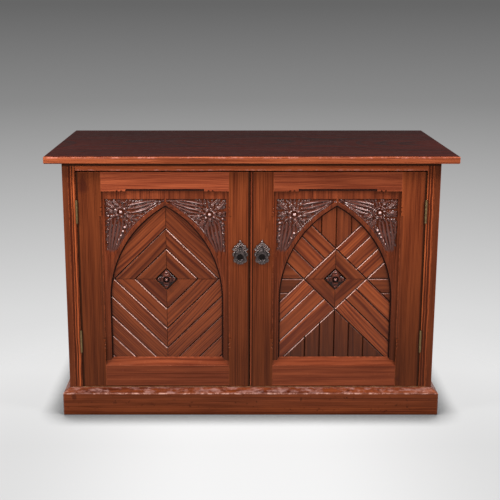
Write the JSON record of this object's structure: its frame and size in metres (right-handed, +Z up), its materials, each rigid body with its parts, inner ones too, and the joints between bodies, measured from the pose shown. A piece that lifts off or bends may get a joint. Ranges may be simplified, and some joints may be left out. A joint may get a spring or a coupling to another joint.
{
  "type": "gothic revival cabinet",
  "caption": "Low cabinet with pointed-arch panelled doors, carved spandrels, diagonal matchboards, drop-ring pulls, an inner shelf and a chamfered plinth.",
  "frame": {"origin": "on the floor, under the middle of the top board", "axes": "+X to the right along the width, +Y to the back, +Z up"},
  "size_m": [1.35, 0.6, 0.907],
  "materials": {
    "pine_top": "dark waxed pine",
    "pine": "waxed pitch pine",
    "pine_light": "waxed pitch pine",
    "pine_dark": "waxed pitch pine",
    "pine_inside": "unpolished pine",
    "carved_pine": "polished carved pine",
    "brass": "aged brass",
    "antique_metal": "dark bronzed metal"
  },
  "bodies": {
    "carcass": {"top_board": "pine_top", "side_left": "pine_dark", "side_right": "pine_dark", "face_stile_left": "pine", "face_stile_right": "pine", "face_rail": "pine", "door_stop": "pine_dark", "bottom_board": "pine_inside", "shelf": "pine_inside", "shelf_bearers": "pine_inside", "back_boards": "pine_dark", "back_rail": "pine_dark", "top_blocks": "pine_dark", "plinth_front": "pine", "plinth_left": "pine", "plinth_right": "pine", "plinth_back": "pine_dark", "plinth_blocks": "pine_dark", "frame_hinges": "brass", "hinge_pins": "brass", "frame_hinge_screws": "brass", "catch_strike": "brass"},
    "left_door": {"left_hinge_stile": "pine", "left_meeting_stile": "pine", "left_top_rail": "pine_light", "left_bottom_rail": "pine_light", "left_spandrel_outer": "carved_pine", "left_spandrel_inner": "carved_pine", "left_centre_boards": "pine", "left_diamond_boards": "pine", "left_chevron_boards": "pine", "left_panel_backing": "pine_inside", "left_rosette": "carved_pine", "left_door_hinges": "brass", "left_hinge_screws": "brass", "left_handle_plate": "antique_metal", "left_handle_screws": "antique_metal", "left_bolt_plate": "brass"},
    "right_door": {"right_hinge_stile": "pine", "right_meeting_stile": "pine", "right_top_rail": "pine_light", "right_bottom_rail": "pine_light", "right_spandrel_outer": "carved_pine", "right_spandrel_inner": "carved_pine", "right_centre_boards": "pine", "right_saltire_boards": "pine", "right_upright_boards": "pine", "right_panel_backing": "pine_inside", "right_rosette": "carved_pine", "right_door_hinges": "brass", "right_hinge_screws": "brass", "right_handle_plate": "antique_metal", "right_handle_screws": "antique_metal", "right_meeting_bead": "pine_light", "right_catch_case": "brass"},
    "left_pull": {"left_handle_pull": "antique_metal"},
    "right_pull": {"right_handle_pull": "antique_metal"},
    "left_bolt": {"left_bolt_rod": "brass"},
    "catch_ball": {"right_catch_ball": "brass"}
  },
  "joints": [
    {"name": "left_door_hinge", "type": "hinge", "parent": "carcass", "child": "left_door", "pos_m": [-0.578, -0.268, 0.4743], "axis": [0, 0, -1], "range_deg": [0, 120]},
    {"name": "right_door_hinge", "type": "hinge", "parent": "carcass", "child": "right_door", "pos_m": [0.578, -0.268, 0.4743], "axis": [0, 0, 1], "range_deg": [0, 120]},
    {"name": "left_pull_swing", "type": "hinge", "parent": "left_door", "child": "left_pull", "pos_m": [-0.0365, -0.2719, 0.59], "axis": [-1, 0, 0], "range_deg": [0, 95]},
    {"name": "right_pull_swing", "type": "hinge", "parent": "right_door", "child": "right_pull", "pos_m": [0.0365, -0.2719, 0.59], "axis": [-1, 0, 0], "range_deg": [0, 95]},
    {"name": "left_bolt_slide", "type": "slide", "parent": "left_door", "child": "left_bolt", "axis": [0, 0, 1], "range_m": [0, 0.012]},
    {"name": "catch_ball_press", "type": "slide", "parent": "right_door", "child": "catch_ball", "axis": [0, 0, -1], "range_m": [0, 0.003], "stiffness_N_per_m": 400, "springref_m": -0.002}
  ]
}
